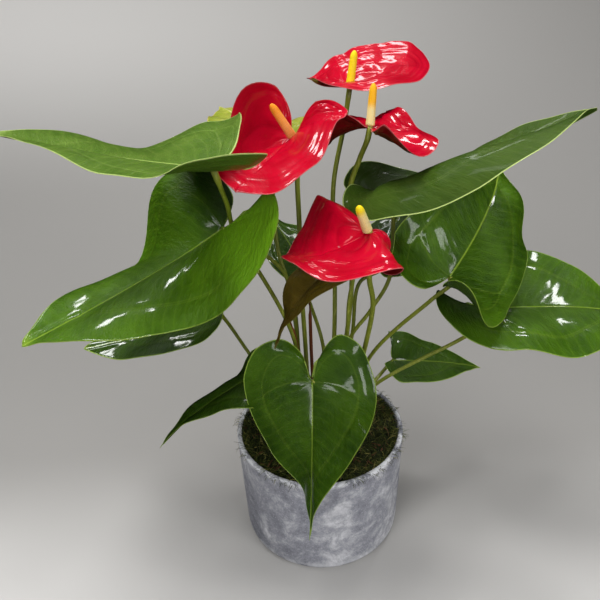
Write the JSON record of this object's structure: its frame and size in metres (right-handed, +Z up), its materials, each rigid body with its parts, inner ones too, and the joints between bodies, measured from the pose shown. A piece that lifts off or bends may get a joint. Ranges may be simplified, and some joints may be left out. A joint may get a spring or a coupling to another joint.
{
  "type": "potted anthurium",
  "caption": "Flamingo flower plant with red spathes and heart-shaped leaves, standing in a round cement-look cover pot dressed with moss.",
  "frame": {"origin": "centre of the pot's foot, on the surface that it stands on", "axes": "+Z up; -Y towards the viewer of the reference picture; +X to the viewer's right"},
  "size_m": [0.4679, 0.2535, 0.418],
  "materials": {
    "pot": "unglazed, mottled blue-grey cement look",
    "soil": "crumbly potting mix",
    "moss": "fibrous dark green moss",
    "leaf": "glossy dark green leaf",
    "leaf_light": "satin light green leaf",
    "leaf_young": "glossy yellow-green young leaf",
    "leaf_bronze": "satin bronze young leaf",
    "stalk": "smooth olive green stalk",
    "spathe": "lacquer-glossy red",
    "spadix": "matte, tightly packed florets",
    "old_stalk": "withered red-brown stalk"
  },
  "bodies": {
    "root": {"cover_pot": "pot", "root_ball": "soil", "moss": "moss", "leaf_upper_left": "leaf_light", "leaf_left": "leaf", "leaf_left_under": "leaf", "leaf_lower_left": "leaf", "leaf_front": "leaf", "leaf_lower_right": "leaf", "leaf_right": "leaf", "leaf_mid_right": "leaf", "leaf_upper_right": "leaf_light", "leaf_back": "leaf", "leaf_back_right": "leaf", "young_leaf_green": "leaf_young", "young_leaf_bronze": "leaf_bronze", "stalk_left": "stalk", "spathe_left": "spathe", "spadix_left": "spadix", "stalk_right": "stalk", "spathe_right": "spathe", "spadix_right": "spadix", "stalk_back": "stalk", "spathe_back": "spathe", "spadix_back": "spadix", "stalk_front": "stalk", "spathe_front": "spathe", "spadix_front": "spadix", "old_stalk_1": "old_stalk", "old_stalk_2": "old_stalk"}
  },
  "joints": []
}
